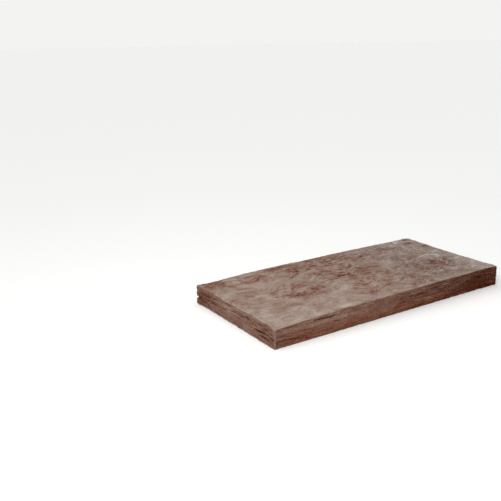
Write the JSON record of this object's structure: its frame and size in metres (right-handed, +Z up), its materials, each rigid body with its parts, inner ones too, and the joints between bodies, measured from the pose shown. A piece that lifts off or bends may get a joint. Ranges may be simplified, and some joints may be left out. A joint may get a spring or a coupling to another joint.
{
  "type": "mineral wool slab",
  "caption": "Semi-rigid rectangular slab of brown mineral wool insulation, with soft arrises, a marbled felted top and layered cut edges, pressed between framing or laid flat.",
  "frame": {"origin": "middle of the underside, on the floor that the slab lies on", "axes": "+X along the slab's length, +Y across its width, +Z up through its thickness"},
  "size_m": [1.25, 0.6, 0.09],
  "materials": {
    "mineral_wool": "matt felted fibres, marbled greyish beige over brown, layered red-brown on the cut edges"
  },
  "bodies": {
    "root": {"wool_slab": "mineral_wool"}
  },
  "joints": []
}
